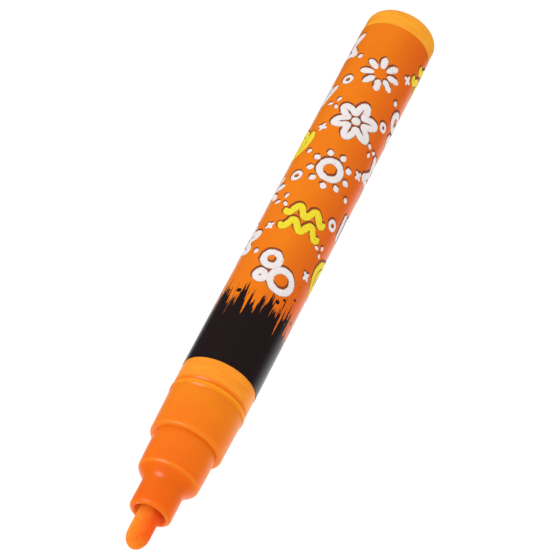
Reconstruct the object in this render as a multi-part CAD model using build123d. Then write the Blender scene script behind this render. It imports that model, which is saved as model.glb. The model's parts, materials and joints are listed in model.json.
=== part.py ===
from build123d import *
import math
import os

# Valve-action marker, standing on its rear face with the nib up. Millimetres, axis along Z, rear face at Z = 0.

# Barrel
barrel_length = 99.65
barrel_radius = 7.57
barrel_wall = 1.2
barrel_floor = 1.6
rear_rounding = 2.0
mouth_rounding = 0.9
floor_rounding = 0.8

# Printed label film round the barrel
rear_band = 5.1
front_band = 5.1
label_thickness = 0.07
label_glue = 0.02

# Nozzle, outside
bead_rise = 0.13
bead_crest = 1.0
bead_slope = 0.3
bead_rear_rounding = 0.25
bead_front_rounding = 0.5
collar_length = 10.45
collar_step = 0.07
collar_draft = 0.18
collar_rounding = 0.5
cap_step = 1.04
cap_seat_length = 3.8
waist_length = 7.66
waist_draft = 0.15
shoulder_slope = 44.0
shoulder_rounding = 0.9
throat_rounding = 2.0
slope_use = 0.95
nose_length = 6.3
nose_wall = 0.99
rim_rounding = 0.7
lip_rounding = 0.25

# Nozzle, inside
nozzle_wall = 1.3
skirt_length = 6.65
skirt_wall = 1.0
snap_depth = 0.25
snap_height = 1.2
snap_from_end = 2.4
fin_count = 6
fin_thickness = 0.8
fin_setback = 2.5
fin_root = 0.3

# Nib
nib_radius = 2.23
nib_exposed = 7.55
nib_dome = 3.03
nib_chamfer = 0.3
nib_air_gap = 0.97

# Valve
seat_rise = 1.6
seat_thickness = 1.8
seat_hole_radius = 2.2
seat_lip_width = 0.6
seat_lip_height = 0.4
seal_thickness = 1.0
seal_margin = 0.3
disc_thickness = 1.2
disc_flow_gap = 0.45
stem_radius = 1.4
stem_margin = 1.05
stem_chamfer = 0.2
tail_radius = 1.5
tail_reach = 1.5
valve_travel = 2.0

# Spring and its cage
spring_length = 8.0
spring_turns = 6.5
wire_radius = 0.3
spring_guide_gap = 0.8
cage_wall = 0.85
cage_floor = 1.2
port_count = 4
port_width = 2.4
port_height = 3.4

# Mixing balls
ball_radius = 2.5
ball_gap = 0.4

# Fits between pieces
plug_fit = 0.03
running_fit = 0.06
touch_gap = 0.02
spring_end_gap = 0.05

# Radii that follow from the sizes above
bore_radius = barrel_radius - barrel_wall
bead_radius = barrel_radius + bead_rise
collar_rear_radius = barrel_radius - collar_step
collar_front_radius = collar_rear_radius - collar_draft
waist_radius = collar_front_radius - cap_step
waist_front_radius = waist_radius - waist_draft
nose_hole_radius = nib_radius + nib_air_gap
nose_radius = nose_hole_radius + nose_wall
skirt_radius = bore_radius - plug_fit
skirt_bore = skirt_radius - skirt_wall
chamber_radius = waist_front_radius - nozzle_wall
fin_inner = nib_radius + running_fit
seat_radius = skirt_bore - plug_fit
cage_bore = seat_radius - cage_wall
disc_radius = cage_bore - disc_flow_gap
coil_radius = tail_radius + spring_guide_gap + wire_radius

# Heights along the axis that follow from the sizes above
collar_face = barrel_length + collar_length
shoulder_start = collar_face + waist_length
shoulder_end = shoulder_start + (waist_front_radius - nose_radius) / math.tan(math.radians(shoulder_slope))
nose_face = shoulder_end + nose_length
nib_tip = nose_face + nib_exposed
chamber_top = shoulder_start - nozzle_wall
skirt_end = barrel_length - skirt_length
snap_centre = skirt_end + snap_from_end
seat_top = barrel_length + seat_rise
seat_bottom = seat_top - seat_thickness
seal_top = seat_bottom - seat_lip_height - touch_gap
disc_top = seal_top - seal_thickness
disc_bottom = disc_top - disc_thickness
cage_floor_top = disc_bottom - spring_length
cage_end = cage_floor_top - cage_floor
tail_end = cage_end - tail_reach
stem_top = seat_top + valve_travel + stem_margin
nib_rear = stem_top + touch_gap
label_top = barrel_length - front_band

# Roundings at the two ends of the sloping shoulder, which have to share its length
slope_length = (waist_front_radius - nose_radius) / math.sin(math.radians(shoulder_slope))
slope_room = slope_use * slope_length / math.tan(math.radians(shoulder_slope / 2))
slope_share = min(1, slope_room / (shoulder_rounding + throat_rounding))


def outline(*corners):
    """Flat face through the axis, from the corners of a half outline given as (radius, height)."""
    return make_face(Polyline(*[(radius, 0, height) for radius, height in corners], close=True))


def rounded(face, rounding, *corners):
    """The outline with the named corners rounded off."""
    picked = [min(face.vertices(), key=lambda v: (v.center() - Vector(r, 0, z)).length) for r, z in corners]
    return fillet(picked, rounding)


def turned(face):
    """Solid turned about the marker's axis."""
    return revolve(face, axis=Axis.Z)


def tube(inner, outer, bottom, top):
    """Plain ring or sleeve."""
    return turned(outline((inner, bottom), (outer, bottom), (outer, top), (inner, top)))


def snap_ring(radius, growth):
    """Low ridge round the skirt that clicks into the barrel, grown on every side by a clearance."""
    half = snap_height / 2 + growth
    crest = radius + snap_depth + growth
    root = radius - skirt_wall / 2
    face = outline(
        (root, snap_centre - half),
        (radius, snap_centre - half),
        (crest, snap_centre - half + snap_depth),
        (crest, snap_centre + half - snap_depth),
        (radius, snap_centre + half),
        (root, snap_centre + half),
    )
    return turned(face)


def biarc(start, start_heading, end, end_heading):
    """Two arcs that leave the start and reach the end in the given directions."""
    span = end - start
    both = start_heading + end_heading
    bend = 2 * (1 - start_heading.dot(end_heading))
    along = span.dot(both)
    reach = (math.sqrt(along * along + bend * span.dot(span)) - along) / bend
    middle = (start + start_heading * reach + end - end_heading * reach) * 0.5
    first = TangentArc(start, middle, tangent=start_heading)
    second = TangentArc(middle, end, tangent=first % 1)
    return [first, second]


def make_barrel():
    """Tube with a closed rear end, open at the mouth, with a groove for the nozzle's snap ridge."""
    face = outline(
        (0, 0),
        (barrel_radius, 0),
        (barrel_radius, barrel_length),
        (bore_radius, barrel_length),
        (bore_radius, barrel_floor),
        (0, barrel_floor),
    )
    face = rounded(face, rear_rounding, (barrel_radius, 0))
    face = rounded(face, mouth_rounding, (barrel_radius, barrel_length))
    face = rounded(face, floor_rounding, (bore_radius, barrel_floor))
    return turned(face) - snap_ring(skirt_radius, plug_fit)


def make_label():
    """Film wrapped round the barrel between its two bare bands."""
    inner = barrel_radius + label_glue
    return tube(inner, inner + label_thickness, rear_band, label_top)


def make_fin():
    """One inner rib that holds the nib on the axis and leaves air round it."""
    face = outline(
        (fin_inner, nib_rear + nib_chamfer),
        (chamber_radius + fin_root, nib_rear + nib_chamfer),
        (chamber_radius + fin_root, chamber_top + fin_root),
        (nose_hole_radius + fin_root, chamber_top + fin_root),
        (nose_hole_radius + fin_root, nose_face - fin_setback),
        (fin_inner, nose_face - fin_setback),
    )
    return extrude(face, fin_thickness / 2, both=True)


def make_nozzle():
    """Nib holder: skirt, bead, collar, waist for the cap, sloping shoulder and nose, hollow with ribs."""
    bead_top = barrel_length + bead_crest
    face = outline(
        (skirt_bore, skirt_end),
        (skirt_radius, skirt_end),
        (skirt_radius, barrel_length),
        (bead_radius, barrel_length),
        (bead_radius, bead_top),
        (collar_rear_radius, bead_top + bead_slope),
        (collar_front_radius, collar_face),
        (waist_radius, collar_face),
        (waist_radius, collar_face + cap_seat_length),
        (waist_front_radius, shoulder_start),
        (nose_radius, shoulder_end),
        (nose_radius, nose_face),
        (nose_hole_radius, nose_face),
        (nose_hole_radius, chamber_top),
        (chamber_radius, chamber_top),
        (chamber_radius, seat_top),
        (skirt_bore, seat_top),
    )
    face = rounded(face, bead_rear_rounding, (bead_radius, barrel_length))
    face = rounded(face, bead_front_rounding, (bead_radius, bead_top))
    face = rounded(face, collar_rounding, (collar_front_radius, collar_face))
    face = rounded(face, slope_share * shoulder_rounding, (waist_front_radius, shoulder_start))
    face = rounded(face, slope_share * throat_rounding, (nose_radius, shoulder_end))
    face = rounded(face, rim_rounding, (nose_radius, nose_face))
    face = rounded(face, lip_rounding, (nose_hole_radius, nose_face))
    fins = [place * make_fin() for place in PolarLocations(0, fin_count)]
    return turned(face) + snap_ring(skirt_radius, 0) + fins


def make_nib():
    """Bullet nib: straight rod whose writing end is rounded by two arcs, a long flank and a blunt tip."""
    dome_start = nib_tip - nib_dome
    dome = biarc(Vector(nib_radius, 0, dome_start), Vector(0, 0, 1), Vector(0, 0, nib_tip), Vector(-1, 0, 0))
    rod = Polyline(
        (0, 0, nib_tip),
        (0, 0, nib_rear),
        (nib_radius - nib_chamfer, 0, nib_rear),
        (nib_radius, 0, nib_rear + nib_chamfer),
        (nib_radius, 0, dome_start),
    )
    return turned(make_face([*rod.edges(), *[arc.edge() for arc in dome]]))


def make_seat():
    """Ring behind the nib chamber, with a raised lip below that the seal closes on."""
    lip_radius = seat_hole_radius + seat_lip_width
    lip_bottom = seat_bottom - seat_lip_height
    face = outline(
        (seat_hole_radius, lip_bottom),
        (lip_radius, lip_bottom),
        (lip_radius, seat_bottom),
        (seat_radius, seat_bottom),
        (seat_radius, seat_top),
        (seat_hole_radius, seat_top),
    )
    return turned(face)


def make_seal():
    """Soft washer on the stem's disc."""
    return tube(stem_radius + plug_fit, disc_radius - seal_margin, disc_top, seal_top)


def make_stem():
    """Valve: a push rod under the nib, a disc that carries the seal, and a guide tail."""
    face = outline(
        (0, tail_end),
        (tail_radius - stem_chamfer, tail_end),
        (tail_radius, tail_end + stem_chamfer),
        (tail_radius, disc_bottom),
        (disc_radius, disc_bottom),
        (disc_radius, disc_top),
        (stem_radius, disc_top),
        (stem_radius, stem_top - stem_chamfer),
        (stem_radius - stem_chamfer, stem_top),
        (0, stem_top),
    )
    return turned(face)


def make_cage():
    """Cup below the seat that carries the spring, guides the tail and lets ink in through side ports."""
    guide = tail_radius + running_fit
    face = outline(
        (guide, cage_end),
        (seat_radius, cage_end),
        (seat_radius, seat_bottom),
        (cage_bore, seat_bottom),
        (cage_bore, cage_floor_top),
        (guide, cage_floor_top),
    )
    port = Box(2 * seat_radius, port_width, port_height, align=(Align.MIN, Align.CENTER, Align.MIN))
    port = Pos(cage_bore - cage_wall, 0, cage_floor_top) * port
    ports = [place * port for place in PolarLocations(0, port_count)]
    return turned(face) - ports


def coil_point(angle, bottom, pitch):
    """Point on the spring's centre line after a turn of so many radians, and its direction there."""
    rise = pitch / math.tau
    point = Vector(coil_radius * math.cos(angle), coil_radius * math.sin(angle), bottom + rise * angle)
    heading = Vector(-coil_radius * math.sin(angle), coil_radius * math.cos(angle), rise).normalized()
    return point, heading


def make_spring():
    """Open-ended coil spring of round wire, each quarter turn of its line a pair of arcs."""
    bottom = cage_floor_top + wire_radius + spring_end_gap
    top = disc_bottom - wire_radius - spring_end_gap
    pitch = (top - bottom) / spring_turns
    quarters = round(4 * spring_turns)
    step = spring_turns * math.tau / quarters
    ends = [coil_point(step * index, bottom, pitch) for index in range(quarters + 1)]
    line = []
    for (start, start_heading), (end, end_heading) in zip(ends[:-1], ends[1:]):
        line += biarc(start, start_heading, end, end_heading)
    section = Plane(origin=ends[0][0], z_dir=ends[0][1]) * Circle(wire_radius)
    report_coil_gap(bottom, pitch)
    return sweep(section, path=Wire([edge.edge() for edge in line]))


def report_coil_gap(bottom, pitch):
    """Prints the least gap between neighbouring turns of the spring, measured on points of its line."""
    per_turn = 72
    count = round(per_turn * spring_turns)
    points = [coil_point(math.tau * index / per_turn, bottom, pitch)[0] for index in range(count + 1)]
    gaps = []
    for index, point in enumerate(points):
        for other in points[index + per_turn // 2:]:
            gaps.append((other - point).length - 2 * wire_radius)
    print(f"least gap between spring turns: {min(gaps):.3f} mm")


def make_ball(side):
    """Loose steel ball lying on the barrel's floor, on one side of the axis."""
    offset = side * (ball_radius + ball_gap / 2)
    return Pos(offset, 0, barrel_floor + touch_gap + ball_radius) * Sphere(ball_radius)


pieces = {
    "barrel": make_barrel(),
    "label_film": make_label(),
    "nozzle": make_nozzle(),
    "nib": make_nib(),
    "valve_seat": make_seat(),
    "valve_seal": make_seal(),
    "valve_stem": make_stem(),
    "valve_spring": make_spring(),
    "valve_cage": make_cage(),
    "mixing_ball_a": make_ball(-1),
    "mixing_ball_b": make_ball(1),
}

os.makedirs("parts", exist_ok=True)
for name, shape in pieces.items():
    export_step(shape, f"parts/{name}.step")
print(f"overall length {nib_tip:.2f} mm, nib length {nib_tip - nib_rear:.2f} mm")
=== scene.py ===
# %% [markdown]
# A liquid chalk marker, dressed for its portrait. The solids arrive at their real size and in their
# real places, so this file never moves them: it gives each one its finish, and adds what a turned or
# moulded solid cannot carry, such as the print on the film, the felt of the nib and the coil.

# %% Load the frame and keep the size of the bare solids
import json
import math

import bpy
from mathutils import Matrix, Vector

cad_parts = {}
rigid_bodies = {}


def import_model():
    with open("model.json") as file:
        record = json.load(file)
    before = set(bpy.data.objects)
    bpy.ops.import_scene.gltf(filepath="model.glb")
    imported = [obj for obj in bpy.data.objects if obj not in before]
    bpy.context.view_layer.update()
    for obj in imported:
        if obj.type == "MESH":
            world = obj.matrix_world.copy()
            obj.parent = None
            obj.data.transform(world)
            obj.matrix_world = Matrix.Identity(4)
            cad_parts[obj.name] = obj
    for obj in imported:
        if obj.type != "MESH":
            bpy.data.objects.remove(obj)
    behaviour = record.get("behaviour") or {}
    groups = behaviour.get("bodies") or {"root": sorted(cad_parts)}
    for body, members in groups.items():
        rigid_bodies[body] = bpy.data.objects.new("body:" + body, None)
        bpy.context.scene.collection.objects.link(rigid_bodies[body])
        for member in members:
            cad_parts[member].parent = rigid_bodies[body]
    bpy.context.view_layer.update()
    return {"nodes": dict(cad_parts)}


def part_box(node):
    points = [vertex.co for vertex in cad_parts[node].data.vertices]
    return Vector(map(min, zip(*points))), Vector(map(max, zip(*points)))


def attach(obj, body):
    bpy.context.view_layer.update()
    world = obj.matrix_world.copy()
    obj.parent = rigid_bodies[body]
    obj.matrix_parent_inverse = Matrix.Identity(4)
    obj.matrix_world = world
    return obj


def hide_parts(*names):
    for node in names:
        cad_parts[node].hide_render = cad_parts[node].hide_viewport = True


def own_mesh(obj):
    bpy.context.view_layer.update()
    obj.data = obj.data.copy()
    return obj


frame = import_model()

mm = 0.001

# %% [markdown]
# Every finish and every shape below is a small network of nodes. One function turns an sRGB hex colour,
# as a colour picker gives it, into the linear numbers that a shader works in. Another adds a node with
# its settings and fills its sockets: with a plain value, with an output of another node, or with a whole
# node, which stands for the first of its outputs that is in use.

# %% Helpers for colours and nodes
def colour(hex_code):
    """Linear RGBA of an sRGB hex colour such as #F08020."""
    shares = [int(hex_code[start:start + 2], 16) / 255 for start in (1, 3, 5)]
    linear = [s / 12.92 if s <= 0.04045 else ((s + 0.055) / 1.055) ** 2.4 for s in shares]
    return (*linear, 1.0)


def plug(tree, node, inputs):
    """Fills each named or numbered socket with a value, an output or a node."""
    for key, value in inputs.items():
        if isinstance(value, bpy.types.Node):
            value = next(output for output in value.outputs if output.enabled)
        if isinstance(value, bpy.types.NodeSocket):
            tree.links.new(value, node.inputs[key])
        else:
            node.inputs[key].default_value = value


def add(tree, kind, inputs=None, **settings):
    """Adds a node with its settings and its links."""
    node = tree.nodes.new(kind)
    for name, value in settings.items():
        setattr(node, name, value)
    plug(tree, node, inputs or {})
    return node


print("an orange in linear light:", [round(c, 3) for c in colour("#F47F16")])

# %% [markdown]
# A material begins with its shader and with the object's own coordinates, in metres, so a pattern of a
# known size in millimetres gets its scale from that size. The solids have one slot each, and a finished
# material goes in there.

# %% Helpers for materials
def per_metre(size_mm):
    """Texture scale at which a pattern repeats about once in so many millimetres."""
    return 1 / (size_mm * mm)


def new_material(name):
    """A material with its node tree, its shader and the object's own coordinates."""
    material = bpy.data.materials.new(name)
    material.use_nodes = True
    tree = material.node_tree
    return material, tree, tree.nodes["Principled BSDF"], add(tree, "ShaderNodeTexCoord").outputs["Object"]


def dress(material, *nodes):
    """Puts a material in every slot of some of the solids."""
    for node in nodes:
        for slot in frame["nodes"][node].material_slots:
            slot.material = material
    print(material.name, "on", ", ".join(nodes))


print("a 0.5 mm pattern has the scale", per_metre(0.5))

# %% [markdown]
# The camera stands above the tip and looks down the marker with a long lens, then rolls over, so that
# the tip hangs down to the left. Its place is worked out from an aim point on the marker's own axis,
# a distance, a height above the horizon and a roll, which is how a photographer would note it down.

# %% Camera
camera_aim = Vector((-1.258, 0.0, 67.881)) * mm
camera_distance = 534.405 * mm
camera_elevation = math.radians(32.126)
camera_roll = math.radians(-152.329)
camera_lens_mm = 176.505

towards_camera = Vector((0.0, -math.cos(camera_elevation), math.sin(camera_elevation)))
camera_turn = Matrix.Rotation(math.pi / 2 - camera_elevation, 4, "X") @ Matrix.Rotation(camera_roll, 4, "Z")
picture_right = camera_turn.to_3x3() @ Vector((1, 0, 0))
picture_up = camera_turn.to_3x3() @ Vector((0, 1, 0))

camera = bpy.data.objects.new("camera", bpy.data.cameras.new("camera"))
camera.data.lens = camera_lens_mm
camera.data.clip_start = 0.01
camera.matrix_world = Matrix.Translation(camera_aim + towards_camera * camera_distance) @ camera_turn
bpy.context.scene.collection.objects.link(camera)
bpy.context.scene.camera = camera
bpy.context.scene.view_settings.view_transform = "Standard"
print("camera at", [round(c / mm, 1) for c in camera.location], "mm")

# %% [markdown]
# The studio is a white table under a wide soft ceiling, with dimmer walls and one bright side behind the
# marker, such as a window gives. What a ray finds there goes by its kind, which the Light Path node
# tells. A ray from the camera finds white, so the picture gets its white ground with no more light on
# the marker. A ray from a shiny surface finds white on the bright side and a dim room elsewhere, which
# runs a narrow pale edge down one side of the plastic. Any other ray finds the plain level that lights
# the marker, with a share of the bright side on top.

# %% Light of the studio by kind of ray
bright_side = Vector((-0.34, 0.94, 0.0))
bright_from = 0.4
bright_full = 0.82
bright_level = 1.2
dim_level = 0.05
side_share = 0.35


def studio_level(tree, way_out, lit):
    """Tells the camera's rays and the shiny ones, and gives the light that all but the camera's find."""
    path = add(tree, "ShaderNodeLightPath").outputs
    shiny = add(tree, "ShaderNodeMath", {0: path["Is Glossy Ray"], 1: path["Is Transmission Ray"]},
                operation="MAXIMUM")
    way = add(tree, "ShaderNodeVectorMath", {0: way_out}, operation="NORMALIZE")
    lean = add(tree, "ShaderNodeVectorMath", {0: way, 1: bright_side}, operation="DOT_PRODUCT")
    one_sided = add(tree, "ShaderNodeMapRange", {"Value": lean, "From Min": bright_from,
                                                 "From Max": bright_full, "To Min": dim_level,
                                                 "To Max": bright_level})
    sided = add(tree, "ShaderNodeMath", {0: one_sided, 1: side_share, 2: lit}, operation="MULTIPLY_ADD")
    level = add(tree, "ShaderNodeMix", {0: shiny, 2: sided, 3: one_sided})
    return path["Is Camera Ray"], shiny, level


print("bright side of the studio towards", tuple(round(c, 2) for c in bright_side))

# %% [markdown]
# The walls and the ceiling are the world's background, which grows lighter with height. Cycles would
# ask a sampled world for its light without saying for which kind of ray, so sampling is switched off
# here and on the table, and the rays find the studio by themselves.

# %% Walls and ceiling
wall_light = 0.37
ceiling_light = 1.14

world = bpy.data.worlds.new("studio")
world.use_nodes = True
world.cycles.sampling_method = "NONE"
bpy.context.scene.world = world
air = world.node_tree
way_out = add(air, "ShaderNodeTexCoord").outputs["Generated"]
height = add(air, "ShaderNodeSeparateXYZ", {"Vector": way_out}).outputs["Z"]
soft_light = add(air, "ShaderNodeMapRange", {"Value": height, "To Min": wall_light, "To Max": ceiling_light})
camera_ray, shiny_ray, level = studio_level(air, way_out, soft_light)
seen_level = add(air, "ShaderNodeMix", {0: camera_ray, 2: level, 3: 1.0})
plug(air, air.nodes["Background"], {"Color": colour("#FFFFFF"), "Strength": seen_level})
print("light from", wall_light, "at the walls to", ceiling_light, "at the ceiling")

# %% [markdown]
# The table is matt white paint. To the camera it glows nearly white by itself and takes only a small
# share of the real light, enough to keep the marker's shadow. The marker is lit by it from below.

# %% Table
table_size = 8.0
table_light = 0.28
table_white = 0.945
shadow_share = 0.12

half = table_size / 2
table_mesh = bpy.data.meshes.new("table")
table_mesh.from_pydata([(-half, -half, 0), (half, -half, 0), (half, half, 0), (-half, half, 0)], [],
                       [(0, 1, 2, 3)])
table = bpy.data.objects.new("table", table_mesh)
bpy.context.scene.collection.objects.link(table)
paint, coat, shader, place = new_material("matt_white_paint")
paint.cycles.emission_sampling = "NONE"
camera_ray, shiny_ray, level = studio_level(coat, place, table_light)
glow = add(coat, "ShaderNodeMix", {0: camera_ray, 2: level, 3: table_white})
not_shiny = add(coat, "ShaderNodeMath", {0: 1.0, 1: shiny_ray}, operation="SUBTRACT")
lit_share = add(coat, "ShaderNodeMix", {0: camera_ray, 2: not_shiny, 3: shadow_share})
white = add(coat, "ShaderNodeMix", {0: lit_share, 6: colour("#000000"), 7: colour("#EDEDED")},
            data_type="RGBA")
plug(coat, shader, {"Base Color": white, "Roughness": 1.0, "Specular IOR Level": 0.0,
                    "Emission Color": colour("#FFFFFF"), "Emission Strength": glow})
table_mesh.materials.append(paint)
print("table of", table_size, "m, lit at", table_light)

# %% [markdown]
# A soft box stands up and to the left of the camera. It lights that side of the marker a little more,
# and a wider one in the same place is only mirrored, which puts the small highlights on the rims and
# roundings without making the plastic any lighter. Their place is given by the picture's own directions,
# so they can be moved left or up as they would be seen through the lens.

# %% Soft boxes
box_right = -0.61
box_up = 0.31
box_forward = 0.73
box_distance = 0.60
to_box = (picture_right * box_right + picture_up * box_up + towards_camera * box_forward).normalized()


def soft_box(name, watts, size):
    """Square lamp that faces the marker."""
    lamp = bpy.data.lights.new(name, "AREA")
    lamp.size = size
    lamp.energy = watts
    box = bpy.data.objects.new(name, lamp)
    box.location = camera_aim + to_box * box_distance
    box.rotation_euler = to_box.to_track_quat("Z", "Y").to_euler()
    bpy.context.scene.collection.objects.link(box)
    print(name, "of", watts, "W at", [round(c / mm) for c in box.location], "mm")
    return box


soft_box("soft_box", watts=0.7, size=0.24)
soft_box("mirrored_box", watts=4.0, size=0.36).visible_diffuse = False

# %% [markdown]
# The nozzle is injection-moulded polypropylene, dyed right through. Its rims are painted paler: a painted
# highlight along each edge, where light catches it. The rims could be painted by hand, but the height on
# the nozzle already says where each one is, so the painted highlight is a function of it: it rises to its
# peak at the rim and fades again.

# %% Painted highlights on the rims of the nozzle
nozzle_low, nozzle_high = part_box("nozzle")

# Each painted rim highlight is its height, how far it reaches below and above, and the share of it at its
# peak: first the collar, then the shoulder and the nose.
rim_highlights = [
    (nozzle_low.z + 17.1 * mm, 1.0 * mm, 0.05 * mm, 1.0),
    (nozzle_low.z + 24.75 * mm, 0.4 * mm, 0.6 * mm, 0.8),
    (nozzle_high.z, 1.0 * mm, 0.05 * mm, 0.5),
]


def rim_highlight_share(tree, height, rim, below, above, peak):
    """Share of the painted highlight: its peak at the height of a rim, fading to 0 below it and above it."""
    rise = add(tree, "ShaderNodeMapRange", {"Value": height, "From Min": rim - below, "From Max": rim,
                                            "To Max": peak})
    fall = add(tree, "ShaderNodeMapRange", {"Value": height, "From Min": rim, "From Max": rim + above,
                                            "To Min": peak, "To Max": 0.0})
    return add(tree, "ShaderNodeMath", {0: rise, 1: fall}, operation="MINIMUM")


print("rim_highlights", [round((rim[0] - nozzle_low.z) / mm, 2) for rim in rim_highlights], "mm from the end of the skirt")

# %% [markdown]
# The plastic is redder towards the nose, and the bead is painted paler, a painted glow of light through
# its thin flange. The melt leaves faint clouds as it flows into the mould. Heights place these tints,
# which is simpler than painting them on and holds on every side.

# %% Tint of the nozzle
dye_start = nozzle_low.z + 10 * mm
dye_full = nozzle_low.z + 30 * mm
bead_end = nozzle_low.z + 8.1 * mm
bead_fade = 1.2 * mm
flow_mm = 6


def nozzle_tint(tree, place, height):
    """Orange with flow clouds, redder towards the nose, with a painted glow on the bead and painted
    highlights at the rims.
    """
    flow = add(tree, "ShaderNodeTexNoise", {"Vector": place, "Scale": per_metre(flow_mm), "Detail": 2.0})
    thick = add(tree, "ShaderNodeMix", {0: flow, 6: colour("#EE7A00"), 7: colour("#F68604")},
                data_type="RGBA")
    redder = add(tree, "ShaderNodeMapRange", {"Value": height, "From Min": dye_start, "From Max": dye_full})
    dyed = add(tree, "ShaderNodeMix", {0: redder, 6: thick, 7: colour("#FF6800")}, data_type="RGBA")
    edge = 0.0
    for rim in rim_highlights:
        edge = add(tree, "ShaderNodeMath", {0: rim_highlight_share(tree, height, *rim), 1: edge}, operation="MAXIMUM")
    # painted highlight: the rims are mixed towards a paler orange
    rimmed = add(tree, "ShaderNodeMix", {0: edge, 6: dyed, 7: colour("#FF8C20")}, data_type="RGBA")
    # painted glow: the bead is mixed towards a pale yellow orange, fading towards the collar
    past_bead = add(tree, "ShaderNodeMapRange", {"Value": height, "From Min": bead_end - bead_fade,
                                                 "From Max": bead_end})
    return add(tree, "ShaderNodeMix", {0: past_bead, 6: colour("#FF9A08"), 7: rimmed}, data_type="RGBA")


print("the dye turns red from", round(dye_start / mm, 1), "to", round(dye_full / mm, 1), "mm up the marker")

# %% [markdown]
# More light passes through the wall towards the thin nose, so the plastic scatters more there, and most on
# the wall of the hole, which is lit from both sides and is also painted lighter, a painted glow for the
# light that comes to it through the thin nose. The hole is found by its distance from the axis. The skin
# copies a finely spark-eroded mould: it mirrors little when seen face on, so the dye looks deep, and more
# along its edges.

# %% Moulded polypropylene of the nozzle
hole_wall = 3.22 * mm
grain_mm = 0.12
face_on_gloss = 0.2


def moulded_polypropylene():
    """Dyed plastic: saturated, slightly translucent, with a satin skin and faint flow clouds."""
    material, tree, shader, place = new_material("moulded_polypropylene")
    height = add(tree, "ShaderNodeSeparateXYZ", {"Vector": place}).outputs["Z"]
    outer = nozzle_tint(tree, place, height)
    from_axis = add(tree, "ShaderNodeVectorMath", {0: place, 1: (1.0, 1.0, 0.0)}, operation="MULTIPLY")
    radius = add(tree, "ShaderNodeVectorMath", {0: from_axis}, operation="LENGTH")
    in_hole = add(tree, "ShaderNodeMath", {0: radius, 1: hole_wall}, operation="LESS_THAN")
    # painted glow: the wall of the hole is mixed towards a light orange
    body = add(tree, "ShaderNodeMix", {0: in_hole, 6: outer, 7: colour("#FFB468")}, data_type="RGBA")
    grain = add(tree, "ShaderNodeTexNoise", {"Vector": place, "Scale": per_metre(grain_mm), "Detail": 3.0})
    satin = add(tree, "ShaderNodeMapRange", {"Value": grain, "To Min": 0.26, "To Max": 0.36})
    skin = add(tree, "ShaderNodeBump", {"Strength": 0.06, "Distance": 0.02 * mm, "Height": grain})
    thin = add(tree, "ShaderNodeMapRange", {"Value": height, "From Min": dye_start,
                                            "From Max": nozzle_high.z, "To Min": 0.2, "To Max": 0.7})
    glow = add(tree, "ShaderNodeMath", {0: thin, 1: in_hole}, operation="MAXIMUM")
    plug(tree, shader, {"Base Color": body, "Roughness": satin, "Normal": skin, "IOR": 1.49,
                        "Specular IOR Level": face_on_gloss,
                        "Subsurface Weight": glow, "Subsurface Radius": (1.0, 0.38, 0.08),
                        "Subsurface Scale": 3.0 * mm})
    return material


dress(moulded_polypropylene(), "nozzle")

# %% [markdown]
# The barrel is the same plastic with less dye, so more light passes through its wall: the bare band at
# the front looks paler than the collar, and the closed rear end, with no plug behind it, glows almost
# yellow. Its rounded mouth is redder. Drawing the tube over its core leaves very fine rings round it.
# They are too shallow to model, so a noise that is squeezed flat along the axis draws them.

# %% Translucent polypropylene of the barrel
barrel_low, barrel_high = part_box("barrel")
mouth_start = barrel_high.z - 1.1 * mm
mouth_fade = 0.5 * mm
ring_mm = 0.8
ring_squeeze = (0.12, 0.12, 1.0)


def translucent_polypropylene():
    """Lightly dyed plastic: pale, glowing, with faint rings round the tube."""
    material, tree, shader, place = new_material("translucent_polypropylene")
    height = add(tree, "ShaderNodeSeparateXYZ", {"Vector": place}).outputs["Z"]
    along = add(tree, "ShaderNodeMapRange", {"Value": height, "From Min": barrel_low.z,
                                             "From Max": barrel_high.z})
    dyed = add(tree, "ShaderNodeMix", {0: along, 6: colour("#FFAE2A"), 7: colour("#FF9A20")},
               data_type="RGBA")
    mouth = add(tree, "ShaderNodeMapRange", {"Value": height, "From Min": mouth_start,
                                             "From Max": mouth_start + mouth_fade})
    tinted = add(tree, "ShaderNodeMix", {0: mouth, 6: dyed, 7: colour("#FA8412")}, data_type="RGBA")
    squeezed = add(tree, "ShaderNodeMapping", {"Vector": place, "Scale": ring_squeeze})
    rings = add(tree, "ShaderNodeTexNoise", {"Vector": squeezed, "Scale": per_metre(ring_mm), "Detail": 3.0})
    ring_share = add(tree, "ShaderNodeMapRange", {"Value": rings, "From Min": 0.3, "From Max": 0.6,
                                                  "To Min": 0.55, "To Max": 1.0})
    streaked = add(tree, "ShaderNodeMix", {0: ring_share, 6: colour("#F27E0C"), 7: tinted},
                   data_type="RGBA")
    satin = add(tree, "ShaderNodeMapRange", {"Value": rings, "To Min": 0.24, "To Max": 0.40})
    skin = add(tree, "ShaderNodeBump", {"Strength": 0.15, "Distance": 0.03 * mm, "Height": rings})
    plug(tree, shader, {"Base Color": streaked, "Roughness": satin, "Normal": skin, "IOR": 1.49,
                        "Specular IOR Level": face_on_gloss,
                        "Subsurface Weight": 0.15, "Subsurface Radius": (1.0, 0.45, 0.12),
                        "Subsurface Scale": 0.6 * mm})
    return material


dress(translucent_polypropylene(), "barrel")

# %% [markdown]
# The front end of the label is dipped in black with a dry brush, whose bristles leave streaks along the
# marker and throw a few drops ahead of them. The streaks are a noise that is stretched along the axis and
# added to the height, so the edge of the black breaks up where the noise says, and the drops are the
# cores of a Voronoi pattern. Neither needs a picture, and both close round the barrel.

# %% Dry-brushed black of the label
label_low, label_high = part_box("label_film")
dip_edge = label_high.z - 16 * mm
dip_reach = 8 * mm
drop_reach = 11 * mm
drop_mm = 2.2
bristle_mm = 0.9
bristle_stretch = (1.0, 1.0, 0.06)


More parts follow.
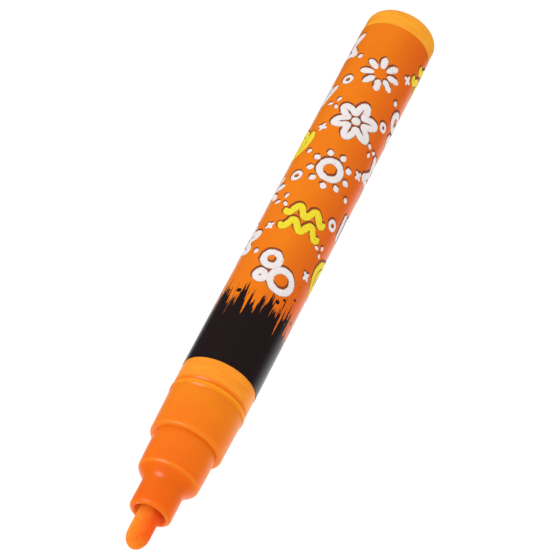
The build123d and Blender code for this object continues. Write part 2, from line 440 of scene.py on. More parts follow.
def dry_brushed(tree, place, height):
    """Share of black: whole in the dip, streaked at its edge, with drops ahead of it."""
    stretched = add(tree, "ShaderNodeMapping", {"Vector": place, "Scale": bristle_stretch})
    bristles = add(tree, "ShaderNodeTexNoise", {"Vector": stretched, "Scale": per_metre(bristle_mm),
                                                "Detail": 5.0, "Roughness": 0.65})
    rise = add(tree, "ShaderNodeMapRange", {"Value": height, "From Min": dip_edge - 2 * dip_reach,
                                            "From Max": dip_edge + 2 * dip_reach, "To Min": -0.5,
                                            "To Max": 0.5})
    brushed = add(tree, "ShaderNodeMath", {0: rise, 1: bristles}, operation="ADD")
    dipped = add(tree, "ShaderNodeMapRange", {"Value": brushed, "From Min": 0.49, "From Max": 0.51})
    cores = add(tree, "ShaderNodeTexVoronoi", {"Vector": place, "Scale": per_metre(drop_mm)})
    drop_size = add(tree, "ShaderNodeMapRange", {"Value": height, "From Min": dip_edge - drop_reach,
                                                 "From Max": dip_edge, "To Max": 0.25})
    drops = add(tree, "ShaderNodeMath", {0: cores, 1: drop_size}, operation="LESS_THAN")
    return add(tree, "ShaderNodeMath", {0: dipped, 1: drops}, operation="MAXIMUM")


print("the black reaches", round((label_high.z - dip_edge) / mm, 1), "mm down the label")

# %% [markdown]
# The label itself is a thin printed film with a clear gloss over the ink. Its ground is orange, clouded a
# little darker by a soft noise, and a deeper orange on one side as painted shade, where that side turns
# away from the light. The place on the film gives both, so they have no seam.

# %% Printed film of the label
painted_shade_from = 1.5 * mm
painted_shade_full = -6 * mm
cloud_mm = 9


def printed_film():
    """Glossy film: orange ink with painted shade, deeper on one side, and black that is brushed on dry at
    its edge.
    """
    material, tree, shader, place = new_material("printed_film")
    spot = add(tree, "ShaderNodeSeparateXYZ", {"Vector": place}).outputs
    cloud = add(tree, "ShaderNodeTexNoise", {"Vector": place, "Scale": per_metre(cloud_mm), "Detail": 4.0})
    clouded = add(tree, "ShaderNodeMix", {0: cloud, 6: colour("#E87002"), 7: colour("#F48604")},
                  data_type="RGBA")
    # painted shade: the ground turns a deeper orange towards one side of the film
    painted_shade = add(tree, "ShaderNodeMapRange", {"Value": spot["X"], "From Min": painted_shade_from,
                                             "From Max": painted_shade_full})
    shaded_ground = add(tree, "ShaderNodeMix", {0: painted_shade, 6: clouded, 7: colour("#E26204")}, data_type="RGBA")
    black = dry_brushed(tree, place, spot["Z"])
    ink = add(tree, "ShaderNodeMix", {0: black, 6: shaded_ground, 7: colour("#221719")}, data_type="RGBA")
    gloss = add(tree, "ShaderNodeMapRange", {"Value": cloud, "To Min": 0.20, "To Max": 0.30})
    plug(tree, shader, {"Base Color": ink, "Roughness": gloss, "IOR": 1.5,
                        "Specular IOR Level": face_on_gloss})
    return material


film_material = printed_film()
dress(film_material, "label_film")

# %% [markdown]
# The valve is a dull, uncoloured polypropylene and its seal is black rubber. They stay inside the
# barrel, but a reader may open the marker up, and the nib pulls out, so they are finished too. One soft
# noise each is enough for pieces of a few millimetres.

# %% Plastic and rubber of the valve
milk_mm = 2
bloom_mm = 0.4


def uncoloured_polypropylene():
    """Plastic with no dye: milky white, waxy, a little light passing through."""
    material, tree, shader, place = new_material("uncoloured_polypropylene")
    cloud = add(tree, "ShaderNodeTexNoise", {"Vector": place, "Scale": per_metre(milk_mm), "Detail": 3.0})
    milk = add(tree, "ShaderNodeMix", {0: cloud, 6: colour("#DEDCD2"), 7: colour("#EEEDE6")},
               data_type="RGBA")
    wax = add(tree, "ShaderNodeMapRange", {"Value": cloud, "To Min": 0.36, "To Max": 0.50})
    plug(tree, shader, {"Base Color": milk, "Roughness": wax, "IOR": 1.49, "Subsurface Weight": 0.3,
                        "Subsurface Radius": (1.0, 0.9, 0.7), "Subsurface Scale": 1.0 * mm})
    return material


def nitrile_rubber():
    """Black rubber: matt, with a fine bloom of grey."""
    material, tree, shader, place = new_material("nitrile_rubber")
    bloom = add(tree, "ShaderNodeTexNoise", {"Vector": place, "Scale": per_metre(bloom_mm), "Detail": 4.0})
    black = add(tree, "ShaderNodeMix", {0: bloom, 6: colour("#141414"), 7: colour("#2B2B2C")},
                data_type="RGBA")
    dull = add(tree, "ShaderNodeMapRange", {"Value": bloom, "To Min": 0.6, "To Max": 0.8})
    plug(tree, shader, {"Base Color": black, "Roughness": dull, "IOR": 1.52})
    return material


dress(uncoloured_polypropylene(), "valve_seat", "valve_stem", "valve_cage")
dress(nitrile_rubber(), "valve_seal")

# %% [markdown]
# The mixing balls are tumbled until they shine, and the spring is drawn wire, which keeps fine marks.
# Both are bare steel, so one function of tones and marks makes both: metallic, with a noise that moves
# the tone and the roughness together.

# %% Steel of the balls and the spring
def steel(name, bright, shade, mark_mm, roughest, smoothest):
    """Bare steel: a grey mirror, dulled by the marks that drawing or tumbling leaves."""
    material, tree, shader, place = new_material(name)
    marks = add(tree, "ShaderNodeTexNoise", {"Vector": place, "Scale": per_metre(mark_mm), "Detail": 5.0})
    tone = add(tree, "ShaderNodeMix", {0: marks, 6: colour(shade), 7: colour(bright)}, data_type="RGBA")
    polish = add(tree, "ShaderNodeMapRange", {"Value": marks, "To Min": smoothest, "To Max": roughest})
    plug(tree, shader, {"Base Color": tone, "Roughness": polish, "Metallic": 1.0})
    return material


ball_steel = steel("polished_ball_steel", bright="#D2D3D6", shade="#BFC0C4", mark_mm=1.5, roughest=0.16,
                   smoothest=0.06)
dress(ball_steel, "mixing_ball_a", "mixing_ball_b")

# %% [markdown]
# A tree of Geometry Nodes is a recipe with named sizes, which suits what repeats or follows a curve. One
# function opens a tree with its inputs, and one ends it with real geometry in one material.

# %% Helpers that begin and end a recipe
def open_tree(name, kinds):
    """A new tree with a named input of each kind, and its group input and output nodes."""
    tree = bpy.data.node_groups.new(name, "GeometryNodeTree")
    for title, kind in kinds.items():
        tree.interface.new_socket(title, in_out="INPUT", socket_type="NodeSocket" + kind)
    tree.interface.new_socket("Mesh", in_out="OUTPUT", socket_type="NodeSocketGeometry")
    return tree, add(tree, "NodeGroupInput").outputs, add(tree, "NodeGroupOutput")


def end_tree(tree, given, result, geometry):
    """Makes the instances real, gives them the one material and closes the tree."""
    real = add(tree, "GeometryNodeRealizeInstances", {"Geometry": geometry})
    done = add(tree, "GeometryNodeSetMaterial", {"Geometry": real, "Material": given["Material"]})
    plug(tree, result, {"Mesh": done})
    print(tree.name, "is a recipe of", len(tree.nodes), "nodes")


print("materials so far:", len(bpy.data.materials))

# %% [markdown]
# A recipe runs as a modifier on an empty mesh, and takes its values by the identifiers of its inputs. The
# result is then kept as a plain mesh and the modifier goes, so what stays is a piece like any other.

# %% Helper that runs a recipe
def run_tree(tree, name, values):
    """Runs the tree with these values of its inputs, and keeps the result as one plain mesh object."""
    piece = bpy.data.objects.new(name, bpy.data.meshes.new(name))
    bpy.context.scene.collection.objects.link(piece)
    recipe = piece.modifiers.new("recipe", "NODES")
    recipe.node_group = tree
    for socket in tree.interface.items_tree:
        if socket.in_out == "INPUT":
            recipe[socket.identifier] = values[socket.name]
    graph = bpy.context.evaluated_depsgraph_get()
    made = bpy.data.meshes.new_from_object(piece.evaluated_get(graph))
    piece.modifiers.remove(recipe)
    piece.data = made
    made.name = name
    made.shade_smooth()
    print(name, "has", len(made.vertices), "points and", len(made.polygons), "faces")
    return piece


print("recipes so far:", len(bpy.data.node_groups))

# %% [markdown]
# The valve spring is round wire on a helix. A mesh could be swept by hand, but the tree's spiral gives
# the same curve from its turns and height, and it can be checked against the solid that it stands for.

# %% Recipe of a coil
coil, given, result = open_tree("coil", {"Turns": "Float", "Radius": "Float", "Wire": "Float",
                                         "Foot": "Vector", "Height": "Float", "Material": "Material"})
helix = add(coil, "GeometryNodeCurveSpiral", {
    "Resolution": 48, "Rotations": given["Turns"], "Start Radius": given["Radius"],
    "End Radius": given["Radius"], "Height": given["Height"]})
wire = add(coil, "GeometryNodeCurvePrimitiveCircle", {"Resolution": 16, "Radius": given["Wire"]})
tube = add(coil, "GeometryNodeCurveToMesh", {"Curve": helix, "Profile Curve": wire, "Fill Caps": True})
stood = add(coil, "GeometryNodeSetPosition", {"Geometry": tube, "Offset": given["Foot"]})
end_tree(coil, given, result, stood)

# %% [markdown]
# The spring stands on the floor of the valve's cage, and pressing the valve shortens it towards that foot.

# %% Valve spring
spring_low, spring_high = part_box("valve_spring")
spring_length = spring_high.z - spring_low.z
spring_turns = 6.5
wire_radius = 0.3 * mm
wire_steel = steel("drawn_spring_steel", bright="#C4C5C8", shade="#A2A3A8", mark_mm=0.3, roughest=0.40,
                   smoothest=0.22)
spring = run_tree(coil, "coil_spring", {
    "Turns": spring_turns, "Wire": wire_radius, "Radius": spring_high.x - wire_radius,
    "Foot": (0.0, 0.0, spring_low.z + wire_radius), "Height": spring_length - 2 * wire_radius,
    "Material": wire_steel})
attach(spring, "root")
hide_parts("valve_spring")
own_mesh(spring)

# %% [markdown]
# The nib is a stick of felt, ground to a bullet and soaked with ink. Its colour is painted deeper on one
# side, as painted shade, and paler on the other, as painted light; writing wears the dome, so it is paler
# at its tip too. Both follow from the place on the nib, so no mask has to be painted.

# %% Ink in the nib
nib_low, nib_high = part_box("nib")
# painted light: the felt turns paler from here towards its +X side, the side that faces the soft box
painted_light_from = -1.2 * mm
worn_length = 3 * mm
worn_share = 0.85


def painted_light_and_wear_share(tree, place):
    """How pale the felt is: wholly on the side with painted light, and nearly so at the tip that wore."""
    spot = add(tree, "ShaderNodeSeparateXYZ", {"Vector": place}).outputs
    painted_lit_side = add(tree, "ShaderNodeMapRange", {"Value": spot["X"], "From Min": painted_light_from,
                                               "From Max": nib_high.x})
    worn = add(tree, "ShaderNodeMapRange", {"Value": spot["Z"], "From Min": nib_high.z - worn_length,
                                            "From Max": nib_high.z, "To Max": worn_share})
    return add(tree, "ShaderNodeMath", {0: painted_lit_side, 1: worn}, operation="MAXIMUM")


print("the tip of the nib is worn over", round(worn_length / mm, 1), "mm")

# %% [markdown]
# The felt is made of bonded fibres: dull, and streaked along the stick. The streaks are a noise stretched
# that way, drawn wider than real fibres are, because those would be too fine to show.

# %% Bonded fibre of the nib
fibre_width_mm = 0.22
fibre_stretch = (1.0, 1.0, 0.1)


def bonded_fibre():
    """Felt soaked with ink: dull, streaked along the fibres, painted shade on one side, painted light on the
    other, and pale at its tip.
    """
    material, tree, shader, place = new_material("bonded_fibre")
    stretched = add(tree, "ShaderNodeMapping", {"Vector": place, "Scale": fibre_stretch})
    fibres = add(tree, "ShaderNodeTexNoise", {"Vector": stretched, "Scale": per_metre(fibre_width_mm),
                                              "Detail": 4.0, "Roughness": 0.6})
    streak = add(tree, "ShaderNodeMapRange", {"Value": fibres, "From Min": 0.3, "From Max": 0.7})
    deep_ink = add(tree, "ShaderNodeMix", {0: streak, 6: colour("#FA4804"), 7: colour("#FF6C0C")},
                   data_type="RGBA")
    pale_ink = add(tree, "ShaderNodeMix", {0: streak, 6: colour("#FF7C10"), 7: colour("#FF9E22")},
                   data_type="RGBA")
    # painted light and shade, and wear at the tip: the pale and the deep felt are mixed by that share
    ink = add(tree, "ShaderNodeMix", {0: painted_light_and_wear_share(tree, place), 6: deep_ink, 7: pale_ink},
              data_type="RGBA")
    fuzz = add(tree, "ShaderNodeBump", {"Strength": 0.25, "Distance": 0.04 * mm, "Height": fibres})
    dull = add(tree, "ShaderNodeMapRange", {"Value": fibres, "To Min": 0.75, "To Max": 0.95})
    plug(tree, shader, {"Base Color": ink, "Roughness": dull, "Normal": fuzz, "Specular IOR Level": 0.15,
                        "Sheen Weight": 0.03, "Sheen Roughness": 0.5, "Subsurface Weight": 0.25,
                        "Subsurface Radius": (1.0, 0.4, 0.1), "Subsurface Scale": 1.2 * mm})
    return material


felt = bonded_fibre()
print(felt.name, "with fibres", fibre_width_mm, "mm wide")

# %% [markdown]
# Smooth felt with a bump map would do for the nib from far off, but its fibres are real ridges side by
# side. So a sheet is wrapped round the axis along a half outline of the nib, and every point is pushed
# in or out by the same stretched noise. The sheet's edges meet at a seam and at two poles, which Merge by
# Distance closes.

# %% Recipe of a turned stick of fibres
seam_gap = 0.001 * mm

turned, given, result = open_tree("turned_fibre", {
    "Outline": "Object", "Around": "Int", "Along": "Int", "Fineness": "Float", "Stretch": "Vector",
    "Deepest": "Float", "Highest": "Float", "Material": "Material"})
outline = add(turned, "GeometryNodeObjectInfo", {"Object": given["Outline"]}).outputs["Geometry"]
sheet = add(turned, "GeometryNodeMeshGrid", {"Size X": math.tau, "Size Y": 1.0,
                                             "Vertices X": given["Around"], "Vertices Y": given["Along"]})
flat = add(turned, "ShaderNodeSeparateXYZ", {"Vector": add(turned, "GeometryNodeInputPosition")}).outputs
share = add(turned, "ShaderNodeMath", {0: flat["Y"], 1: 0.5}, operation="ADD")
drawn = add(turned, "GeometryNodeSampleCurve", {"Curves": outline, "Factor": share}).outputs["Position"]
round_axis = add(turned, "ShaderNodeVectorRotate", {"Vector": drawn, "Angle": flat["X"]},
                 rotation_type="Z_AXIS")
stretched = add(turned, "ShaderNodeVectorMath", {0: round_axis, 1: given["Stretch"]}, operation="MULTIPLY")
fibres = add(turned, "ShaderNodeTexNoise", {"Vector": stretched, "Scale": given["Fineness"], "Detail": 2.0})
swell = add(turned, "ShaderNodeMapRange", {"Value": fibres, "To Min": given["Deepest"],
                                           "To Max": given["Highest"]})
outwards = add(turned, "ShaderNodeCombineXYZ", {"X": swell, "Y": swell, "Z": 1.0})
ridged = add(turned, "ShaderNodeVectorMath", {0: round_axis, 1: outwards}, operation="MULTIPLY")
shaped = add(turned, "GeometryNodeSetPosition", {"Geometry": sheet, "Position": ridged})
closed = add(turned, "GeometryNodeMergeByDistance", {"Geometry": shaped, "Distance": seam_gap})
end_tree(turned, given, result, closed)

# %% [markdown]
# The outline is read off the nib's solid: a flat rear end with a small chamfer, a straight side and half
# an ellipse for the dome. A formula gives the dome as many points as it needs to look round.

# %% Outline of the nib
nib_radius = nib_high.x
nib_dome = 3.03 * mm
nib_chamfer = 0.3 * mm
dome_steps = 24

dome_turns = [math.pi / 2 * step / dome_steps for step in range(dome_steps + 1)]
half_outline = [(0.0, nib_low.z), (nib_radius - nib_chamfer, nib_low.z)]
half_outline += [(nib_radius, nib_low.z + nib_chamfer)]
half_outline += [(nib_radius * math.cos(turn), nib_high.z - nib_dome * (1 - math.sin(turn)))
                 for turn in dome_turns]
outline_curve = bpy.data.curves.new("nib_outline", "CURVE")
outline_curve.dimensions = "3D"
line = outline_curve.splines.new("POLY")
line.points.add(len(half_outline) - 1)
for point, (radius, height) in zip(line.points, half_outline):
    point.co = (radius, 0.0, height, 1.0)
nib_outline = bpy.data.objects.new("nib_outline", outline_curve)
print("the outline of the nib has", len(half_outline), "points")

# %% [markdown]
# The ridges go deeper inwards than outwards, so that the felt stays within the bore of the nozzle. Running
# the recipe on the outline gives the nib, and the outline itself is then cleared away.

# %% Fibre nib
deepest_ridge = 0.033 * mm
highest_ridge = 0.017 * mm
points_around = 161
points_along = 260

fibre_nib = run_tree(turned, "fibre_nib", {
    "Outline": nib_outline, "Around": points_around, "Along": points_along,
    "Fineness": per_metre(fibre_width_mm), "Stretch": fibre_stretch,
    "Deepest": 1 - deepest_ridge / nib_radius, "Highest": 1 + highest_ridge / nib_radius,
    "Material": felt})
bpy.data.objects.remove(nib_outline)
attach(fibre_nib, "nib")
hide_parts("nib")

# %% [markdown]
# The film carries a generic print of chalk doodles: swirls, stars, suns, ripples and the like, drawn
# with a blunt stroke, with small marks between them. A picture wrapped round the film would do too, but
# strokes stay sharp at any distance and keep the slight thickness that screen-printed ink has. Each
# stroke is a formula on flat paper, in millimetres.

# %% Helpers for drawing
def along_formula(formula, steps):
    """Points of a formula from 0 to 1."""
    return [formula(step / steps) for step in range(steps + 1)]


def polar(radius, turn):
    """Point at a distance and a turn in radians."""
    return (radius * math.cos(turn), radius * math.sin(turn))


def ring(radius, centre=(0.0, 0.0), steps=40):
    """Points of a circle, which the stroke closes."""
    spots = [polar(radius, math.tau * step / steps) for step in range(steps)]
    return [(centre[0] + x, centre[1] + y) for x, y in spots]


def rays(count, inner, outer):
    """Short strokes that stand out from a middle."""
    turns = [math.tau * step / count for step in range(count)]
    return [([polar(inner, turn), polar(outer, turn)], False) for turn in turns]


print("a ring of radius 2 mm starts at", ring(2)[0])

# %% [markdown]
# A drawing is a list of strokes, and a stroke is its points and whether it closes on itself. The doodles
# are about 8 mm across and the small marks about 2 mm. Formulas take less room than traced outlines, and
# the numbers in them can be played with.

# %% Doodles and small marks on flat paper
swirl = along_formula(lambda t: polar(0.4 + 3.5 * t, 2.6 * math.tau * t), 90)
star = [polar((4.0, 1.75)[corner % 2], math.tau * (corner + 0.5) / 10) for corner in range(10)]
petals = along_formula(lambda t: polar(2.7 + 1.1 * math.cos(6 * math.tau * t), math.tau * t), 120)[:-1]
ripples = [along_formula(lambda t: (7 * t - 3.5, level + 0.9 * math.sin(2.5 * math.tau * t)), 60)
           for level in (-1.4, 1.4)]
slants = [[(middle - 0.7, -2.4), (middle + 0.7, 2.4)] for middle in (-2.4, -0.8, 0.8, 2.4)]
bubbles = [ring(1.9, (-1.6, 0.9)), ring(1.3, (2.0, -1.3)), ring(0.75, (1.7, 2.2))]
dot = ring(0.2, steps=12)

doodles = {
    "swirl": [(swirl, False)],
    "star": [(star, True)],
    "sun": [(ring(1.7), True)] + rays(9, 2.6, 3.8),
    "ripple": [(ripple, False) for ripple in ripples],
    "hatch": [(slant, False) for slant in slants],
    "daisy": [(petals, True), (dot, True)],
    "bubbles": [(bubble, True) for bubble in bubbles],
    "sparks": rays(8, 1.2, 3.7),
}
small_marks = {
    "dot": [(dot, True)],
    "cross": rays(4, 0.0, 1.1),
    "ringlet": [(ring(0.8), True)],
    "spark": rays(3, 0.5, 1.7),
}
print("a sun has", len(doodles["sun"]), "strokes, and a swirl", len(swirl), "points")

# %% [markdown]
# Geometry Nodes can pick the members of a collection by number, so every drawing becomes one flat curve,
# in metres, and each set of drawings one collection.

# %% Collections of drawings
def draw_set(name, drawings):
    """One collection with a flat curve for each drawing."""
    sheet = bpy.data.collections.new(name)
    for title, strokes in drawings.items():
        curve = bpy.data.curves.new(title, "CURVE")
        curve.dimensions = "3D"
        for points, closed in strokes:
            line = curve.splines.new("POLY")
            line.points.add(len(points) - 1)
            line.use_cyclic_u = closed
            for point, (x, y) in zip(line.points, points):
                point.co = (x * mm, y * mm, 0.0, 1.0)
        sheet.objects.link(bpy.data.objects.new(title, curve))
    print(len(drawings), name + ":", ", ".join(drawings))
    return sheet


doodle_set = draw_set("doodles", doodles)
mark_set = draw_set("small_marks", small_marks)

# %% [markdown]
# The recipe of the print works on flat paper first. It lays out a grid of points, with every other
# column shifted along, as wallpaper often is, so that the rows don't show.

# %% Recipe of the print: lay out the points
chalk, given, result = open_tree("chalk_print", {
    "Drawings": "Collection", "Kinds": "Int", "Columns": "Int", "Rows": "Int", "Width": "Float",
    "Height": "Float", "Stagger": "Float", "Least Turn": "Vector", "Most Turn": "Vector",
    "Smallest": "Float", "Largest": "Float", "Every": "Int", "Picked": "Bool", "Seed": "Int",
    "Step": "Float", "Half Stroke": "Float", "Press": "Vector", "Place": "Vector", "Radius": "Float",
    "Material": "Material"})
grid = add(chalk, "GeometryNodeMeshGrid", {"Size X": given["Width"], "Size Y": given["Height"],
                                           "Vertices X": given["Columns"], "Vertices Y": given["Rows"]})
number = add(chalk, "GeometryNodeInputIndex")
columns_before = add(chalk, "ShaderNodeMath", {0: number, 1: given["Rows"]}, operation="DIVIDE")
own_column = add(chalk, "ShaderNodeMath", {0: columns_before}, operation="FLOOR")
odd = add(chalk, "ShaderNodeMath", {0: own_column, 1: 2.0}, operation="MODULO")
shift = add(chalk, "ShaderNodeMath", {0: odd, 1: given["Stagger"]}, operation="MULTIPLY")
shift_along = add(chalk, "ShaderNodeCombineXYZ", {"Y": shift})
spots = add(chalk, "GeometryNodeSetPosition", {"Geometry": grid, "Offset": shift_along})
print("points are laid out by", len(chalk.nodes), "nodes")

# %% [markdown]
# One drawing goes on each point, turned and scaled a little by a fixed seed. Its kind steps on by a stride
# from point to point, so that no two alike stand side by side. Every so many drawings can be picked or left
# out, which is how one layout takes two colours of ink.

# %% Recipe of the print: put a drawing on each point
kind_stride = 5.0

drawings = add(chalk, "GeometryNodeCollectionInfo", {"Collection": given["Drawings"],
                                                     "Separate Children": True, "Reset Children": True})
mixed = add(chalk, "ShaderNodeMath", {0: number, 1: kind_stride, 2: given["Seed"]},
            operation="MULTIPLY_ADD")
kind = add(chalk, "ShaderNodeMath", {0: mixed, 1: given["Kinds"]}, operation="MODULO")
since = add(chalk, "ShaderNodeMath", {0: number, 1: given["Every"]}, operation="MODULO")
first = add(chalk, "FunctionNodeCompare", {"A": since, "B": 0.5}, operation="LESS_THAN")
wanted = add(chalk, "FunctionNodeBooleanMath", {0: first, 1: given["Picked"]}, operation="XNOR")
turn = add(chalk, "FunctionNodeRandomValue", {0: given["Least Turn"], 1: given["Most Turn"],
                                              "Seed": given["Seed"]}, data_type="FLOAT_VECTOR")
size = add(chalk, "FunctionNodeRandomValue", {2: given["Smallest"], 3: given["Largest"],
                                              "Seed": given["Seed"]})
spin = add(chalk, "FunctionNodeEulerToRotation", {"Euler": turn})
copies = add(chalk, "GeometryNodeInstanceOnPoints", {
    "Points": spots, "Selection": wanted, "Instance": drawings, "Pick Instance": True,
    "Instance Index": kind, "Rotation": spin, "Scale": size})
strokes = add(chalk, "GeometryNodeRealizeInstances", {"Geometry": copies})
print("drawings are spread by", len(chalk.nodes), "nodes")

# %% [markdown]
# A stroke of ink begins as a tube round its curve. It narrows to a round end, its width wanders with a
# fine noise as chalk does, and the tube is pressed flat on the paper, which leaves a thin pad with a soft
# edge. The same step sets the paper's place: how far round, how far along and how far from the axis.

# %% Recipe of the print: give the strokes the body of ink
crumb_mm = 1.1

fine = add(chalk, "GeometryNodeResampleCurve", {"Curve": strokes, "Length": given["Step"]}, mode="LENGTH")
behind = add(chalk, "GeometryNodeSplineParameter").outputs["Length"]
whole = add(chalk, "GeometryNodeSplineLength")
ahead = add(chalk, "ShaderNodeMath", {0: whole, 1: behind}, operation="SUBTRACT")
to_end = add(chalk, "ShaderNodeMath", {0: behind, 1: ahead}, operation="MINIMUM")
endless = add(chalk, "GeometryNodeInputSplineCyclic")
to_any_end = add(chalk, "ShaderNodeMath", {0: to_end, 1: endless}, operation="ADD")
fullness = add(chalk, "ShaderNodeMapRange", {"Value": to_any_end, "From Max": given["Half Stroke"],
                                             "To Min": 0.02})
rounding = add(chalk, "ShaderNodeMath", {0: fullness}, operation="SQRT")
crumbs = add(chalk, "ShaderNodeTexNoise", {"Scale": per_metre(crumb_mm), "Detail": 3.0, "Roughness": 0.7})
uneven = add(chalk, "ShaderNodeMapRange", {"Value": crumbs, "From Min": 0.25, "From Max": 0.75,
                                           "To Min": 0.78, "To Max": 1.18})
width = add(chalk, "ShaderNodeMath", {0: rounding, 1: uneven}, operation="MULTIPLY")
section = add(chalk, "GeometryNodeCurvePrimitiveCircle", {"Resolution": 8, "Radius": given["Half Stroke"]})
tube = add(chalk, "GeometryNodeCurveToMesh", {"Curve": fine, "Profile Curve": section, "Fill Caps": True,
                                              "Scale": width})
point = add(chalk, "GeometryNodeInputPosition")
pressed = add(chalk, "ShaderNodeVectorMath", {0: point, 1: given["Press"], 2: given["Place"]},
              operation="MULTIPLY_ADD")
pads = add(chalk, "GeometryNodeSetPosition", {"Geometry": tube, "Position": pressed})
print("with the body of ink there are", len(chalk.nodes), "nodes")

# %% [markdown]
# The paper is then rolled round the film. A length across the paper, over the film's radius, is an
# angle, and a height above the paper is a distance from the axis, so one Vector Rotate node rolls it up.

# %% Recipe of the print: roll the paper round the film
flat = add(chalk, "ShaderNodeSeparateXYZ", {"Vector": add(chalk, "GeometryNodeInputPosition")}).outputs
angle = add(chalk, "ShaderNodeMath", {0: flat["X"], 1: given["Radius"]}, operation="DIVIDE")
upright = add(chalk, "ShaderNodeCombineXYZ", {"X": flat["Z"], "Z": flat["Y"]})
rolled = add(chalk, "ShaderNodeVectorRotate", {"Vector": upright, "Angle": angle}, rotation_type="Z_AXIS")
on_film = add(chalk, "GeometryNodeSetPosition", {"Geometry": pads, "Position": rolled})
end_tree(chalk, given, result, on_film)

# %% [markdown]
# The inks are screen-printed and meant to look like chalk: matt, clouded by a soft noise, and rubbed
# through to the orange in small specks, where a finer noise falls low.

# %% Inks of the print
dust_mm = 0.6
speck_mm = 0.28


def chalk_ink(name, fresh, worn, bare):
    """Screen-printed ink with the look of chalk: matt, clouded, and rubbed through in small specks."""
    material, tree, shader, place = new_material(name)
    dust = add(tree, "ShaderNodeTexNoise", {"Vector": place, "Scale": per_metre(dust_mm), "Detail": 4.0})
    body = add(tree, "ShaderNodeMix", {0: dust, 6: colour(worn), 7: colour(fresh)}, data_type="RGBA")
    specks = add(tree, "ShaderNodeTexNoise", {"Vector": place, "Scale": per_metre(speck_mm), "Detail": 2.0})
    rubbed = add(tree, "ShaderNodeMapRange", {"Value": specks, "From Min": 0.31, "From Max": 0.36,
                                              "To Min": 1.0, "To Max": 0.0})
    ink = add(tree, "ShaderNodeMix", {0: rubbed, 6: body, 7: colour(bare)}, data_type="RGBA")
    matt = add(tree, "ShaderNodeMapRange", {"Value": dust, "To Min": 0.5, "To Max": 0.7})
    plug(tree, shader, {"Base Color": ink, "Roughness": matt, "IOR": 1.5, "Specular IOR Level": 0.3})
    return material


white_ink = chalk_ink("white_screen_ink", fresh="#F0EBEA", worn="#E4DDDB", bare="#F0A060")
yellow_ink = chalk_ink("yellow_screen_ink", fresh="#F5E21D", worn="#ECD40F", bare="#F0A030")
shade_ink = chalk_ink("brown_screen_ink", fresh="#9C430A", worn="#8A3A08", bare="#C05A0C")
print("inks:", white_ink.name, yellow_ink.name, shade_ink.name)

# %% [markdown]
# The doodles stand in four columns, with the small marks half-way between them. The paper begins a
# margin from the film's rear edge and ends a margin before the black, so no doodle is cut off.

# %% Layout of the print
film_radius = label_high.x
columns = 4
rows = 5
rear_margin = 3 * mm
front_margin = 4 * mm
doodle_lean = 0.45
layout_seed = 3
stroke_step = 0.16 * mm

print_rear = label_low.z + rear_margin
print_front = dip_edge - front_margin
row = (print_front - print_rear) / rows
column = math.tau * film_radius / columns
camera_side = -math.pi / 2 * film_radius
halfway = (print_rear + print_front) / 2
paper = {"Columns": columns, "Width": column * (columns - 1), "Height": row * (rows - 1),
         "Radius": film_radius, "Seed": layout_seed, "Step": stroke_step}
doodle_paper = {**paper, "Drawings": doodle_set, "Kinds": len(doodles), "Rows": rows, "Stagger": row / 2,
                "Least Turn": (0.0, 0.0, -doodle_lean), "Most Turn": (0.0, 0.0, doodle_lean),
                "Smallest": 1.14, "Largest": 1.28}
mark_paper = {**paper, "Drawings": mark_set, "Kinds": len(small_marks), "Rows": 2 * rows - 1, "Stagger": 0.0,
              "Least Turn": (0.0, 0.0, -math.pi), "Most Turn": (0.0, 0.0, math.pi), "Smallest": 0.9,
              "Largest": 1.15}
doodle_start = Vector((camera_side + column / 2, halfway - row / 4, film_radius))
mark_start = Vector((camera_side, halfway, film_radius))
print("a doodle every", round(row / mm, 1), "mm along and", round(column / mm, 1), "mm round the film")

# %% [markdown]
# Each ink is one run of the recipe, like one pass of the press. Every fourth doodle is yellow and the
# rest are white. Under each lies a brown shade, printed a little out of register, which sets it off from
# the orange.

# %% Print the label
doodle_stroke = 1.5 * mm
doodle_shade = 1.85 * mm
mark_stroke = 0.8 * mm
mark_shade = 1.05 * mm
ink_body = 0.030 * mm
shade_body = 0.010 * mm
on_top = Vector((0.0, 0.0, 0.016)) * mm
beneath = Vector((0.25, -0.30, 0.004)) * mm
yellow_every = 4


def print_layer(name, layout, start, ink, stroke, body, every=1, picked=True):
    """Runs the recipe for one ink on one layout, and leaves the print on the film."""
    layer = run_tree(chalk, name, {
        **layout, "Every": every, "Picked": picked, "Half Stroke": stroke / 2,
        "Press": (1.0, 1.0, 2 * body / stroke), "Place": tuple(start), "Material": ink})
    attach(layer, "root")


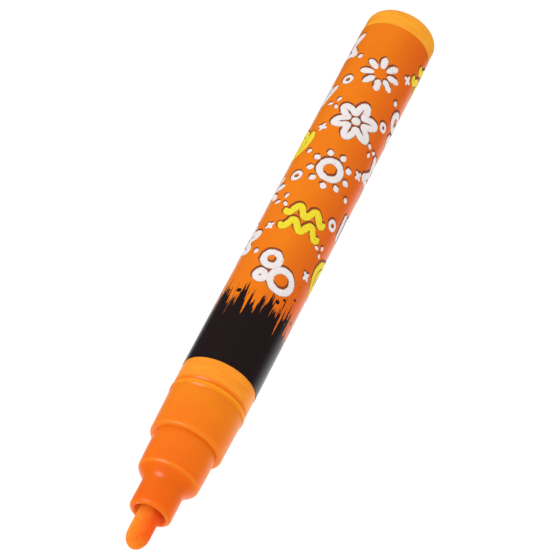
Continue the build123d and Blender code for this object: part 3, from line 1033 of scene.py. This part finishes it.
print_layer("print_shade", doodle_paper, doodle_start + beneath, shade_ink, doodle_shade, shade_body)
print_layer("print_white", doodle_paper, doodle_start + on_top, white_ink, doodle_stroke, ink_body,
            every=yellow_every, picked=False)
print_layer("print_yellow", doodle_paper, doodle_start + on_top, yellow_ink, doodle_stroke, ink_body,
            every=yellow_every)
print_layer("marks_shade", mark_paper, mark_start + beneath, shade_ink, mark_shade, shade_body)
print_layer("marks_white", mark_paper, mark_start + on_top, white_ink, mark_stroke, ink_body)

# %% [markdown]
# The drawings on flat paper have done their work, and they are no piece of the marker. They were never
# linked to the scene, but they would stay in the file, so they and their collections are removed.

# %% Clear the paper away
for drawn_set in (doodle_set, mark_set):
    for drawing in list(drawn_set.objects):
        bpy.data.objects.remove(drawing)
    bpy.data.collections.remove(drawn_set)

# %% [markdown]
# The film is wound once round the barrel and laps over its own end at the back. The lap is a thin wedge
# that starts flush with the film and ends in a step along its other side. A bump could draw the step, but
# it would vanish at the edge of the barrel, so the wedge is a real one, closed all round.

# %% Lap of the film
lap_width = 2.2 * mm
lap_step = 0.04 * mm
lap_segments = 8
lap_turn = math.radians(135)

points = []
for segment in range(lap_segments + 1):
    share = segment / lap_segments
    turn = lap_turn + lap_width / film_radius * (share - 0.5)
    inner = polar(film_radius - lap_step, turn)
    outer = polar(film_radius + lap_step * share, turn)
    points += [(*inner, label_low.z), (*outer, label_low.z), (*outer, label_high.z), (*inner, label_high.z)]
faces = [(0, 1, 2, 3), tuple(len(points) - corner for corner in (1, 2, 3, 4))]
for first in range(0, 4 * lap_segments, 4):
    for corner in range(4):
        after = (corner + 1) % 4
        faces.append((first + corner, first + 4 + corner, first + 4 + after, first + after))
lap_mesh = bpy.data.meshes.new("film_lap")
lap_mesh.from_pydata(points, [], faces)
lap_mesh.materials.append(film_material)
lap = bpy.data.objects.new("film_lap", lap_mesh)
bpy.context.scene.collection.objects.link(lap)
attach(lap, "root")
print("film lap of", round(lap_width / mm, 2), "mm with", len(faces), "faces")
